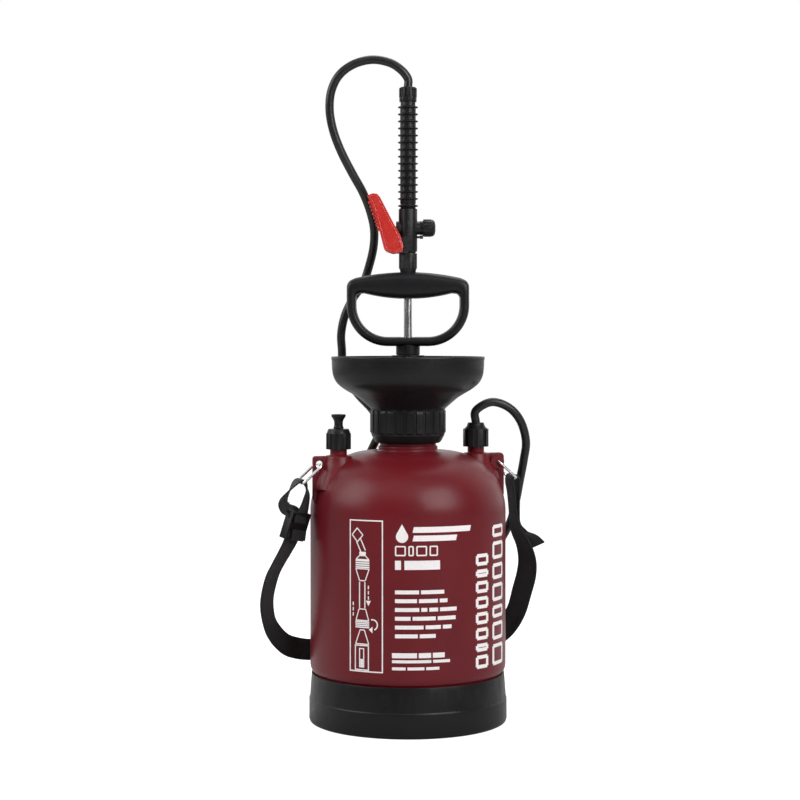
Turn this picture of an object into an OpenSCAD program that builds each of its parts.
// Compression sprayer: a 4 litre tank with a hand pump in a filling funnel, a lance stored down
// the hollow pump rod, a hose, a relief valve and a carrying strap. Millimetres, +Z up.
// Origin: centre of the base, on the floor. The two tank ports and the strap lugs lie on X.

/* [Tank] */
// Outer radius of the tank's straight wall
tank_r = 90; // [86:1:92]
// Wall thickness of the blow-moulded tank
tank_wall = 2; // [1.6:0.2:2.6]
// Radius of the rounded shoulder
shoulder_r = 55; // [50:1:58]
// Height of the flat top of the shoulder
tank_top = 248; // [246:1:250]
// Outer radius of the filling neck
neck_r = 25.8; // [25:0.2:26]
// Distance of each port from the tank's axis
port_x = 66.6; // [64:0.2:68]
// Distance of each strap eyelet from the tank's axis
eyelet_x = 85; // [84:0.5:86]

/* [Funnel] */
// Radius of the funnel's rim
rim_r = 70.8; // [66:0.2:74]
// Height of the funnel's rim above the floor
rim_z = 334.8; // [330:0.2:336]
// Number of grip ribs round the collar
collar_ribs = 24; // [16:1:36]

/* [Pump] */
// Outer radius of the pump barrel
barrel_r = 20; // [19:0.5:20.5]
// Outer radius of the hollow pump rod
rod_r = 10; // [9.8:0.1:10.2]
// Radius of the rod's storage bore
rod_bore_r = 8.3; // [8:0.1:8.4]

/* [Handle] */
// Half of the handle's width
handle_half = 56.5; // [54:0.5:58]
// Depth of the handle's top bar
handle_depth = 25; // [20:1:28]
// Turn of the handle and lance about the pump axis, in degrees
aim = -18; // [-24:1:-12]

/* [Lance] */
// Outer radius of the lance tube
tube_r = 4; // [3.8:0.1:4.2]
// Number of ribs on the grip
grip_ribs = 15; // [10:1:18]
// Distance between grip ribs
grip_pitch = 6.5; // [5:0.5:6.5]

/* [Hose and strap] */
// Outer radius of the hose
hose_r = 4; // [3:0.5:4.5]
// Width of the strap webbing
strap_w = 20; // [15:1:20]
// Thickness of the strap webbing
strap_t = 2; // [1.5:0.1:2]

/* [Hidden] */
$fn = 96;

// Colours
TANK_RED = [0.37, 0.11, 0.13];
BLACK = [0.12, 0.11, 0.12];
RUBBER = [0.2, 0.2, 0.2];
BRASS = [0.75, 0.62, 0.3];
STEEL = [0.8, 0.8, 0.82];
PALE = [0.86, 0.86, 0.82];
RED = [0.8, 0.2, 0.16];
WEBBING = [0.1, 0.1, 0.11];

// Fits
fit = 0.05;        // running clearance on a radius

// Tank
skirt_top = 45;
shoulder_z = tank_top - shoulder_r;
shoulder_in = tank_r - shoulder_r;
waist_r = 86.6;
tank_floor = 6;
base_fillet = 10.6;
neck_top = 284;
neck_in = neck_r - 3;
bead_r = neck_r + 1.5;
port_neck_r = 7.7;
port_bore_r = 5.5;
port_top = 262;
boss_r = 12;
boss_top = 245;
lug_top = 244.7;
lug_foot = 196;
lug_t = 5;
lug_left = 91;
lug_right = 94;
corner_left = 2.5;
corner_right = 4;
eyelet_z = 237;
eyelet_r = 3.5;
skirt_r = 91;

// Funnel and collar
collar_r = 34;
collar_foot = 255.4;
collar_top = 286;
rib_h = 0.9;
rib_share = 0.68;
web_z = 285.5;
seat_z = 288;
throat_z = 292;
throat_r = 24.2;
web_hole_r = 21.2;
bowl_wall = 2.2;

// Pump
head_top = 334;
head_boss_r = 16.5;
bush_r = 12.5;
barrel_in = 17.5;
barrel_foot = 70;
barrel_top = 298;
rod_top = 350;
rod_shoulder = 104;
rod_foot = 80;
spigot_r = 6;
piston_h = 19.6;
groove_r = 14.5;

// Handle
handle_top = 412.8;
handle_foot = 344.4;
stem_r = 11;
stem_foot = 336.3;
bar_hole_r = 7.6;
crown_r = 218;
belly_r = 164;
opening_foot = 353;
opening_top = 388;
side_w = 9;
foot_depth = 24.4;

// Lance
nut_foot = 410;
nut_top = 430;
nut_r = 8.4;
body_r = 8.6;
body_foot = 432.4;
body_top = 470.6;
valve_z = 453.4;
chamber_r = 4.2;
grip_foot = 472;
grip_top = 570;
grip_r = 9.3;
grip_core = 7.3;
hose_nut_top = 583.3;
tube_foot = 150;
nozzle_r = 7;
pivot = [-9.8, 437.4];
pin_r = 2;
cheek_in = 8.9;
cheek_t = 2;
stem_tip = -23.3;
stem_rod_r = 2.4;

// Trigger outline in the lance's own plane, [across, height]
trigger_front = [
  [-20, 431.8], [-22, 433.9], [-25.8, 448.8], [-30.4, 465], [-34.3, 476.3], [-37.6, 482.6],
  [-32.5, 484.8]
];
trigger_back = [
  [-28.4, 484.4], [-25.6, 481.3], [-14.6, 460], [-6.9, 445.9], [-4.3, 436.8], [-5.2, 431],
  [-13.8, 429.7]
];
web_shift = [2.6, -0.4];

// Strap rings
ring_wire = 1.3;
ring_half = 12.5;
ring_len = 24.1;
ring_corner = 4;
ring_drop = 41.6;   // degrees below level at rest

// Hose route: outlet, arch, down the right side, sagging behind the tank, up behind the funnel
HOSE_LOWER = [
  [66.6, 0, 273], [66.6, 0, 284], [81, -3, 292], [97, -6, 287], [109, -6, 274], [116, -2, 255],
  [117, 6, 237], [117, 16, 217], [117, 26, 197], [116, 38, 176], [112, 56, 155], [103, 76, 132],
  [88, 94, 108], [68, 108, 87], [44, 117, 71], [18, 121, 64], [-8, 119, 69], [-29, 113, 83],
  [-41, 106, 103], [-45, 101, 127], [-42, 98, 152], [-35, 97, 177], [-26, 97, 201],
  [-17, 94, 224], [-8, 86, 246], [-4, 76, 264], [-11, 72, 281], [-25, 75, 297],
  [-36, 74, 311], [-42, 72, 324], [-43, 71, 339.9]
];
// Hose route: up behind the handle, behind the trigger, over the top loop and into the grip
HOSE_UPPER = [
  [-43, 71, 340], [-44, 70, 356], [-41, 68, 373], [-34, 65, 389], [-25, 62, 403],
  [-20, 58, 420], [-18, 50, 438], [-20, 42, 455], [-26, 36, 472], [-34, 32, 488],
  [-45, 29, 505], [-56, 27, 524], [-64, 26, 543], [-68, 25, 562], [-67, 23, 580],
  [-60, 20, 595], [-47, 16, 605], [-31, 11, 609], [-16, 5, 606], [-6, 1, 599], [0, 0, 591],
  [0, 0, 583.3]
];
hose_sides = 10;

// Strap routes and the direction of the webbing's width at each point
STRAP_LEFT = [
  [-103.5, 0, 218.4], [-101.5, -0.6, 206], [-103.2, -0.1, 194.9], [-107, 1, 182],
  [-110.8, 2.1, 169.1], [-116, 4, 158], [-121.5, 7, 147], [-126, 13, 134], [-127.5, 25, 112],
  [-123, 36, 92], [-116, 43, 79], [-104, 50, 67], [-90, 58, 61], [-73, 70, 57],
  [-53, 81, 55], [-30, 89, 55], [-10, 94, 55], [7, 95, 55], [20, 92, 55]
];
LEFT_WIDTH = [
  [0, 1, 0], [0.5, 0.85, 0], [0.82, 0.57, 0], [0.82, 0.57, 0], [0.82, 0.57, 0],
  [0.8, 0.6, 0], [0.78, 0.62, 0], [0.77, 0.63, 0], [0.75, 0.65, 0.1], [0.65, 0.6, 0.4],
  [0.5, 0.45, 0.75], [0.25, 0.25, 0.9], [0, 0, 1], [0, 0, 1], [0, 0, 1], [0, 0, 1],
  [0, 0, 1], [0, 0, 1], [0, 0, 1]
];
STRAP_RIGHT = [
  [103.5, 0, 218.4], [103.5, 0, 200], [105, 0, 184], [109, 0, 169], [115, 0, 156],
  [119, 2, 142], [119.5, 6, 128], [117.5, 12, 112], [115, 20, 93], [110, 31, 77],
  [101, 41, 66], [90, 50, 60], [79, 59, 57], [65, 70, 56], [49, 81, 55], [33, 89, 55],
  [20, 92, 55]
];
RIGHT_WIDTH = [
  [0, 1, 0], [0, 1, 0], [-0.1, 1, 0], [-0.3, 0.95, 0], [-0.45, 0.9, 0], [-0.6, 0.8, 0],
  [-0.72, 0.7, 0], [-0.72, 0.65, 0.15], [-0.6, 0.6, 0.4], [-0.4, 0.4, 0.75],
  [-0.2, 0.2, 1], [0, 0, 1], [0, 0, 1], [0, 0, 1], [0, 0, 1], [0, 0, 1], [0, 0, 1]
];
slider_at = 3;      // point of the left strap that the slide buckle sits on
slider_h = 26;

// ---------- shared geometry ----------

function unit(v) = v / norm(v);

function along(p, i) = unit(p[min(i + 1, len(p) - 1)] - p[max(i - 1, 0)]);

function square_to(v, t) = unit(v - (v * t) * t);

function arc(c, r, from, to, steps) =
  [for (i = [0:steps]) let (a = from + (to - from) * i / steps) c + r * [cos(a), sin(a)]];

function carried(p, start) =
  [for (i = 0, v = square_to(start, along(p, 0)); i < len(p);
        i = i + 1, v = i < len(p) ? square_to(v, along(p, i)) : v) v];

function walls(rings, sides) =
  [for (i = [0:rings - 2], k = [0:sides - 1])
    let (a = i * sides, b = a + sides, next = (k + 1) % sides)
      each [[a + k, a + next, b + next], [a + k, b + next, b + k]]];

// Walls of a four-sided strip whose two wide faces fold along the same diagonals
function folded_walls(rings) =
  [for (i = [0:rings - 2], k = [0:3])
    let (a = i * 4 + k, b = i * 4 + (k + 1) % 4)
      each k == 2 ? [[a, b, a + 4], [b, b + 4, a + 4]] : [[a, b, b + 4], [a, b + 4, a + 4]]];

function lids(rings, sides) =
  [[for (k = [sides - 1:-1:0]) k], [for (k = [0:sides - 1]) (rings - 1) * sides + k]];

// A closed skin through rings of points
module skin(points, rings, sides) {
  polyhedron(points, concat(walls(rings, sides), lids(rings, sides)), convexity = 10);
}

// A round tube along a route
module tube_along(route, r, sides, start) {
  frames = carried(route, start);
  points = [for (i = [0:len(route) - 1], k = [0:sides - 1])
    let (t = along(route, i), n = frames[i], b = cross(t, n), a = 360 * k / sides)
      route[i] + r * (cos(a) * n + sin(a) * b)];
  skin(points, len(route), sides);
}

// Flat webbing along a route
module webbing(route, widths) {
  points = [for (i = [0:len(route) - 1], c = [[-1, -1], [1, -1], [1, 1], [-1, 1]])
    let (t = along(route, i), w = square_to(widths[i], t), n = cross(t, w))
      route[i] + strap_w / 2 * c[0] * w + strap_t / 2 * c[1] * n];
  polyhedron(points, concat(folded_walls(len(route)), lids(len(route), 4)), convexity = 10);
}

// A coil spring about Z
module coil(r, wire, z0, z1, turns) {
  steps = 14;
  route = [for (i = [0:turns * steps])
    [r * cos(360 * i / steps), r * sin(360 * i / steps),
     z0 + wire + (z1 - z0 - 2 * wire) * i / (turns * steps)]];
  tube_along(route, wire, 6, [1, 0, 0]);
}

module rod(r, z0, z1) { translate([0, 0, z0]) cylinder(r = r, h = z1 - z0); }

module pipe(r, bore, z0, z1) { difference() { rod(r, z0, z1); rod(bore, z0 - 1, z1 + 1); } }

module cone(r0, r1, z0, z1) { translate([0, 0, z0]) cylinder(r1 = r0, r2 = r1, h = z1 - z0); }

// Ribbed outline: square ribs of height h on a circle of radius r
module ribbed(r, h, count, share) {
  step = 360 / count;
  half = step * share / 2;
  polygon([for (i = [0:count - 1], c = [[-step + half, 0], [-half, 0], [-half, h], [half, h]])
    let (a = i * step + c[0]) (r + c[1]) * [cos(a), sin(a)]]);
}

// A plate in the XZ plane, centred on Y
module plate(t) { rotate([90, 0, 0]) linear_extrude(t, center = true) children(); }

// A round bar along X between two X values, at height z
module cross_rod(r, x0, x1, z) {
  translate([x0, 0, z]) rotate([0, 90, 0]) cylinder(r = r, h = x1 - x0);
}

module on_lance() { rotate([0, 0, aim]) children(); }

// ---------- tank ----------

module tank_outer() {
  rotate_extrude() polygon(concat(
    [[0, tank_floor]],
    arc([waist_r - base_fillet, tank_floor + base_fillet], base_fillet, -90, 0, 8),
    [[waist_r, skirt_top + 0.6], [waist_r + 1.6, skirt_top + 2.2],
     [tank_r - 0.5, skirt_top + 5], [tank_r, skirt_top + 8]],
    arc([shoulder_in, shoulder_z], shoulder_r, 0, 90, 24),
    [[bead_r + 1.2, tank_top], [bead_r, tank_top + 1], [bead_r, tank_top + 4],
     [neck_r, tank_top + 4.6], [neck_r, neck_top], [0, neck_top]]));
}

module tank_cavity() {
  rotate_extrude() polygon(concat(
    [[0, tank_floor + tank_wall]],
    arc([waist_r - base_fillet, tank_floor + base_fillet], base_fillet - tank_wall, -90, 0, 8),
    [[waist_r - tank_wall, skirt_top + 1.6], [tank_r - tank_wall, skirt_top + 8]],
    arc([shoulder_in, shoulder_z], shoulder_r - tank_wall, 0, 90, 24),
    [[neck_in, tank_top - tank_wall], [neck_in, neck_top + 1], [0, neck_top + 1]]));
}

module lug_outline(reach, corner) {
  polygon(concat(
    [[port_x - boss_r / 2, lug_foot], [reach, lug_foot]],
    arc([reach - corner, lug_top - corner], corner, 0, 90, 8),
    [[port_x - boss_r / 2, lug_top]]));
}

module tank_shell() {
  color(TANK_RED) difference() {
    union() {
      tank_outer();
      for (s = [-1, 1]) translate([s * port_x, 0, 0]) {
        rod(boss_r, 222, boss_top);
        rod(port_neck_r, 222, port_top);
      }
      mirror([1, 0, 0]) plate(lug_t) lug_outline(lug_left, corner_left);
      plate(lug_t) lug_outline(lug_right, corner_right);
    }
    tank_cavity();
    for (s = [-1, 1]) {
      translate([s * port_x, 0, 0]) rod(port_bore_r, 215, port_top + 1);
      translate([s * eyelet_x, 0, eyelet_z]) plate(lug_t + 2) circle(eyelet_r);
    }
  }
}

module base_skirt() {
  color(BLACK) rotate_extrude() polygon([
    [80, 0], [88.2, 0], [90.2, 0.9], [skirt_r, 3.2], [skirt_r, 22], [90.3, 23],
    [88.7, skirt_top], [waist_r + 0.3, skirt_top], [waist_r + 0.3, tank_floor],
    [0, tank_floor], [0, 3], [80, 3]]);
}

module neck_gasket() { color(RUBBER) pipe(neck_r, neck_in, neck_top, web_z); }

module funnel_collar() {
  color(BLACK) difference() {
    union() {
      rotate_extrude() polygon([
        [neck_r + 0.2, collar_foot], [28.5, collar_foot], [31, 257.5], [collar_r, 263.6],
        [collar_r, collar_top], [36.5, 288.8], [46, 296.9], [58.2, 304.4], [64, 308.8],
        [68.2, 315], [70, 323], [rim_r - 0.4, rim_z - 3.2], [rim_r, rim_z - 2.4],
        [rim_r, rim_z], [rim_r - bowl_wall, rim_z], [67.8, 323.5], [66.1, 316], [62.5, 310.7],
        [57, 306.5], [44.6, 298.9], [32.5, throat_z], [throat_r, throat_z],
        [throat_r, seat_z], [web_hole_r, seat_z],
        [web_hole_r, web_z], [neck_r + 0.2, web_z]]);
      intersection() {
        translate([0, 0, collar_foot]) linear_extrude(collar_top - collar_foot)
          ribbed(collar_r - 0.3, rib_h + 0.3, collar_ribs, rib_share);
        cone(30, 42, 257, collar_top);
      }
    }
    rod(neck_r + 0.2, collar_foot - 1, web_z);
    rod(web_hole_r, web_z - 1, seat_z + 1);
  }
}

// ---------- relief valve, on the -X port ----------

module at_relief() { translate([-port_x, 0, 0]) children(); }

module relief_cap() {
  color(BLACK) at_relief() difference() {
    union() {
      translate([0, 0, 250.6]) linear_extrude(14.4) ribbed(10.7, 0.7, 14, 0.5);
      cone(11, 9.4, 265, 269);
    }
    rod(port_neck_r + 0.1, 249, port_top);
    rod(5, 261, 267);
    rod(2, 266, 270);
  }
}

module relief_seat() {
  color(BRASS) at_relief() pipe(port_bore_r - 0.05, 2.6, 245, 256);
}

module relief_knob() {
  color(BLACK) at_relief() {
    rod(1.9, 254, 271);
    rotate_extrude() polygon([
      [0, 269.3], [4.6, 269.3], [4.6, 271], [4, 271.6], [4, 275.6], [4.6, 277.4], [6.6, 280.6],
      [6.6, 282.3], [5.6, 282.3], [3.4, 279.6], [0, 279.6]]);
  }
}

module relief_seal() { color(RUBBER) at_relief() pipe(4.2, 1.92, 256.3, 258.3); }

module relief_spring() {
  color(STEEL) at_relief() coil(3.4, 0.4, 258.4, 266.9, 4);
}

// ---------- outlet, on the +X port ----------

module at_outlet() { translate([port_x, 0, 0]) children(); }

module outlet_nut() {
  color(BLACK) at_outlet() difference() {
    union() {
      translate([0, 0, 250.8]) linear_extrude(16.4) ribbed(11, 1, 8, 0.55);
      cone(11, 8.6, 267.2, 269.6);
      cone(8.6, 7.4, 269.6, 273);
    }
    rod(port_neck_r + 0.1, 249, 266.2);
    rod(hose_r + 0.1, 265, 274);
  }
}

module outlet_tail() {
  color(BRASS) at_outlet() difference() {
    union() {
      rod(3.1, 228, 244);
      rod(4.4, 244, 263.6);
      rod(7.4, 263.6, 266.1);
      rod(hose_r, 266.1, 273);
    }
    rod(2, 227, 274);
  }
}

module outlet_gasket() { color(RUBBER) at_outlet() pipe(7.4, 4.5, port_top, 263.5); }

module dip_tube() { color(PALE) at_outlet() pipe(4.3, 3.15, 22, 243.9); }

module strainer() {
  color(PALE) at_outlet() difference() {
    rod(6.4, 9, 30);
    rod(4.35, 22, 31);
    rod(5, 10.5, 21);
    for (k = [0:5]) rotate([0, 0, 60 * k]) translate([0, -0.8, 12]) cube([8, 1.6, 8]);
  }
}

// ---------- pump ----------

module pump_head() {
  color(BLACK) rotate_extrude() polygon([
    [throat_r - 0.15, 290.1], [throat_r - 0.15, 299], [22, 301], [18.4, 303.4],
    [head_boss_r, 307], [head_boss_r, head_top - 1], [head_boss_r - 1, head_top],
    [bush_r + 0.02, head_top], [bush_r + 0.02, 314], [rod_r + 0.6, 314],
    [rod_r + 0.6, barrel_top + 0.1], [barrel_r + 0.02, barrel_top + 0.1],
    [barrel_r + 0.02, 290.1]]);
}

module head_gasket() { color(RUBBER) pipe(throat_r - 0.3, 21.3, seat_z + fit, 290); }

module guide_bush() {
  color(PALE) difference() {
    union() {
      rod(15.4, head_top, 336);
      rod(bush_r, 315, head_top);
    }
    rod(rod_r + fit, 314, 337);
  }
}

module pump_barrel() { color(BLACK) pipe(barrel_r, barrel_in, barrel_foot, barrel_top); }

module foot_valve() {
  color(BLACK) difference() {
    union() {
      rod(barrel_r, 66, barrel_foot);
      rod(barrel_in, barrel_foot, 75);
      rod(2, 62, 66);
      rod(3.2, 61, 63);
    }
    for (k = [0:5]) rotate([0, 0, 60 * k]) translate([6, 0, 0]) rod(1.8, 60, 76);
  }
}

module foot_flap() { color(RUBBER) pipe(9, 2.05, 64.3, 65.9); }

module piston() {
  color(PALE) difference() {
    rod(barrel_in - 0.15, rod_shoulder - 0.1 - piston_h, rod_shoulder - 0.1);
    pipe(barrel_in + 1, groove_r, 90, 98);
    rod(spigot_r + fit, 80, rod_shoulder + 1);
  }
}

module piston_seal() { color(RUBBER) pipe(barrel_in - fit, groove_r + 0.02, 90.2, 97.8); }

module pump_rod() {
  color(BLACK) difference() {
    union() {
      rod(rod_r, rod_shoulder, rod_top);
      rod(spigot_r, rod_foot, rod_shoulder);
    }
    rod(rod_bore_r, rod_shoulder + 3, rod_top + 1);
  }
}

module piston_clip() { color(STEEL) pipe(9.5, spigot_r + 0.02, 81, 84); }

// ---------- handle ----------

module handle_outline() {
  intersection() {
    hull() for (s = [-1, 1]) {
      translate([s * (handle_half - 8), 399]) circle(8);
      translate([s * (handle_half - 38), handle_foot + 38]) circle(38);
    }
    translate([0, handle_top - crown_r]) circle(crown_r);
  }
}

module handle_opening() {
  inner = handle_half - side_w;
  difference() {
    hull() for (s = [-1, 1]) {
      translate([s * (inner - 5), 390]) circle(5);
      translate([s * (inner - 29), opening_foot + 29]) circle(29);
    }
    translate([0, opening_top + belly_r]) circle(belly_r);
  }
}

module handle() {
  color(BLACK) rotate([0, 0, aim]) difference() {
    union() {
      intersection() {
        plate(handle_depth) difference() { handle_outline(); handle_opening(); }
        rotate([0, 0, 90]) plate(2 * handle_half) hull() {
          for (s = [-1, 1]) {
            translate([s * (handle_depth / 2 - 7), handle_top - 7]) circle(7);
            translate([s * (handle_depth / 2 - 5), 390]) circle(5);
            translate([s * (foot_depth / 2 - 5), handle_foot + 5]) circle(5);
          }
        }
      }
      rod(stem_r, stem_foot, handle_foot + 4);
    }
    rod(rod_r + 0.02, stem_foot - 1, rod_top);
    rod(rod_bore_r, rod_top - 1, 360);
    rod(bar_hole_r, 380, handle_top + 1);
  }
}

// ---------- lance ----------

module lance_tube() { color(STEEL) pipe(tube_r, 3, tube_foot, 424); }

module lance_nut() {
  color(BLACK) difference() {
    union() {
      cone(6.6, nut_r - 0.6, nut_foot, nut_foot + 6);
      translate([0, 0, nut_foot + 6]) linear_extrude(nut_top - nut_foot - 6)
        ribbed(nut_r - 0.5, 0.5, 12, 0.5);
    }
    rod(tube_r + 0.02, nut_foot - 1, nut_top + 1);
    rod(6.5, 419, nut_top + 1);
  }
}

module tube_seal() { color(RUBBER) pipe(6.4, tube_r + 0.02, 419.1, 421); }

module nozzle_body() {
  color(BLACK) difference() {
    union() {
      rod(6.6, 138.2, 160);
      rod(4.4, 122, 138.2);
    }
    rod(tube_r + 0.02, tube_foot, 161);
    rod(2, 121, tube_foot + 1);
  }
}

module nozzle_tip() {
  color(BRASS) difference() {
    union() {
      rod(nozzle_r, 118, 138);
      cone(4, nozzle_r, 112, 118);
    }
    rod(4.4 + fit, 119, 139);
    rod(0.8, 111, 120);
  }
}

module valve_body() {
  color(BLACK) on_lance() difference() {
    union() {
      rod(6.4, 421.1, nut_top + 1);
      cone(body_r - 2, body_r, nut_top + 0.05, body_foot);
      rod(body_r, body_foot, body_top);
      cone(body_r, 6.7, body_top, grip_foot);
      rod(5.4, grip_foot, 484);
      plate(2 * body_r) polygon([[-14, 432.5], [-14, 441], [-11.5, 444], [0, 446], [0, 430.1],
        [-11, 430.1]]);
      cross_rod(6.2, -11, 11, valve_z);
      translate([12.5, 0, 445]) cube([3, 5, 3], center = true);
      translate([8.5, 0, 445]) cube([6, 4, 2], center = true);
    }
    cross_rod(stem_rod_r + fit, -20, 0, valve_z);
    cross_rod(chamber_r, -6, 12, valve_z);
    rod(tube_r + 0.02, 420, 424);
    rod(2.2, 423, 485);
    translate([pivot[0], 0, pivot[1]]) plate(3 * body_r) circle(pin_r);
  }
}

module valve_cap() {
  color(BLACK) on_lance() difference() {
    union() {
      cross_rod(chamber_r, 8, 11, valve_z);
      cross_rod(6.4, 11, 13.7, valve_z);
      cross_rod(7.7, 13.7, 23, valve_z);
      translate([23, 0, valve_z]) rotate([0, 90, 0]) cylinder(r1 = 7.7, r2 = 6, h = 1.7);
      translate([24.7, 0, valve_z]) rotate([0, 90, 0]) cylinder(r1 = 6, r2 = 3, h = 0.7);
      translate([14.4, 0, valve_z]) rotate([0, 90, 0]) linear_extrude(7)
        ribbed(7.5, 0.6, 16, 0.5);
    }
    cross_rod(3.6, 7, 20, valve_z);
  }
}

module valve_stem() {
  color(BRASS) on_lance() {
    cross_rod(stem_rod_r, stem_tip + stem_rod_r, 1, valve_z);
    translate([stem_tip + stem_rod_r, 0, valve_z]) sphere(r = stem_rod_r);
    cross_rod(3.4, 1, 3, valve_z);
    cross_rod(1.2, 3, 7, valve_z);
  }
}

module stem_seal() {
  color(RUBBER) on_lance() translate([-5.8, 0, valve_z]) rotate([0, 90, 0])
    difference() { cylinder(r = chamber_r - 0.02, h = 2.4); rod(stem_rod_r + fit, -1, 4); }
}

module valve_spring() {
  color(STEEL) on_lance() translate([0, 0, valve_z]) rotate([0, 90, 0])
    coil(2.6, 0.4, 3.2, 19.8, 7);
}

module trigger_outline() { polygon(concat(trigger_front, trigger_back)); }

module trigger_web() {
  last = len(trigger_front) - 1;
  polygon(concat(trigger_front,
    [for (i = [last:-1:0]) trigger_front[i] + web_shift]));
}

module trigger() {
  reach = cheek_in + cheek_t;
  color(RED) on_lance() difference() {
    union() {
      for (s = [-1, 1]) translate([0, s * (cheek_in + cheek_t / 2), 0]) plate(cheek_t)
        trigger_outline();
      plate(2 * reach) intersection() { trigger_outline(); trigger_web(); }
      for (i = [0:7]) translate([-27.2 - i * 1.18, 0, 452 + i * 3.55]) plate(2 * reach - 1)
        circle(1.1);
    }
    translate([pivot[0], 0, pivot[1]]) plate(3 * reach) circle(pin_r + fit);
  }
}

module trigger_pin() {
  color(STEEL) on_lance() translate([pivot[0], 0, pivot[1]])
    plate(2 * (cheek_in + cheek_t) + 1) circle(pin_r);
}

module grip() {
  color(BLACK) difference() {
    union() {
      rod(6.9, grip_foot, grip_top);
      rod(grip_core, grip_foot + 4, grip_top - 5);
      for (i = [0:grip_ribs - 1]) {
        z = grip_foot + 1.4 + i * grip_pitch;
        cone(grip_core - 0.2, grip_r, z - 0.8, z);
        rod(grip_r, z, z + 0.8);
        cone(grip_r, grip_core - 0.2, z + 0.8, z + 1.6);
      }
    }
    rod(5.42, grip_foot - 1, 484.1);
    rod(3.2, 484, grip_top + 1);
  }
}

module hose_barb() {
  color(BRASS) difference() {
    union() {
      rod(3.15, 556, grip_top);
      rod(6, grip_top, 572);
      rod(hose_r, 572, hose_nut_top);
    }
    rod(1.8, 555, 584);
  }
}

module hose_nut() {
  color(BLACK) difference() {
    union() {
      rod(8, grip_top, 574);
      translate([0, 0, 574]) linear_extrude(8.4) ribbed(7.6, 0.6, 16, 0.5);
      cone(7.7, 7, 582.4, hose_nut_top);
    }
    rod(6.05, 569, 572.05);
    rod(hose_r + 0.05, 571, 584);
  }
}

// ---------- hose ----------

module hose_lower() {
  color(RUBBER) tube_along(HOSE_LOWER, hose_r, hose_sides, [1, 0, 0]);
}

module hose_upper() {
  color(RUBBER) tube_along(HOSE_UPPER, hose_r, hose_sides, [1, 0, 0]);
}

// ---------- strap ----------

// Wire ring hanging from the eyelet: Y across, X away from the lug
module wire_ring() {
  reach = ring_half - ring_corner;
  for (x = [0, ring_len]) translate([x, 0, 0]) plate(2 * reach) circle(ring_wire);
  for (s = [-1, 1]) {
    cross_y = s * ring_half;
    translate([0, cross_y, 0]) cross_rod(ring_wire, ring_corner, ring_len - ring_corner, 0);
    for (x = [ring_corner, ring_len - ring_corner])
      translate([x, s * reach, 0]) rotate([0, 0, quarter(x, s)])
        rotate_extrude(angle = 90) translate([ring_corner, 0]) circle(ring_wire);
  }
}

function quarter(x, s) = x > ring_len / 2 ? (s > 0 ? 0 : -90) : (s > 0 ? 90 : 180);

module left_ring() {
  color(STEEL) translate([-eyelet_x, 0, eyelet_z]) mirror([1, 0, 0])
    rotate([0, ring_drop, 0]) wire_ring();
}

module right_ring() {
  color(STEEL) translate([eyelet_x, 0, eyelet_z]) rotate([0, ring_drop, 0])
    wire_ring();
}

module strap_left() { color(WEBBING) webbing(STRAP_LEFT, LEFT_WIDTH); }

module strap_right() { color(WEBBING) webbing(STRAP_RIGHT, RIGHT_WIDTH); }

// Children drawn with their Z up a strap and their Y across it, at one of its points
module on_strap(route, widths, i) {
  p = route[i];
  t = along(route, i);
  w = square_to(widths[i], t);
  n = cross(t, w);
  multmatrix([[n.x, w.x, -t.x, p.x], [n.y, w.y, -t.y, p.y], [n.z, w.z, -t.z, p.z]]) children();
}

// Slide buckle round the left webbing
module strap_slider() {
  color(BLACK) on_strap(STRAP_LEFT, LEFT_WIDTH, slider_at) difference() {
    cube([8, strap_w + 7, slider_h], center = true);
    cube([4.4, strap_w + 1.6, slider_h + 1], center = true);
    for (s = [-1, 1]) translate([0, 0, s * 7]) cube([9, strap_w + 1.6, 8], center = true);
  }
}

tank_shell();
base_skirt();
neck_gasket();
funnel_collar();
relief_cap();
relief_seat();
relief_knob();
relief_seal();
relief_spring();
outlet_nut();
outlet_tail();
outlet_gasket();
dip_tube();
strainer();
pump_head();
head_gasket();
guide_bush();
pump_barrel();
foot_valve();
foot_flap();
piston();
piston_seal();
pump_rod();
piston_clip();
handle();
lance_tube();
lance_nut();
tube_seal();
nozzle_body();
nozzle_tip();
valve_body();
valve_cap();
valve_stem();
stem_seal();
valve_spring();
trigger();
trigger_pin();
grip();
hose_barb();
hose_nut();
hose_lower();
hose_upper();
left_ring();
right_ring();
strap_left();
strap_right();
strap_slider();
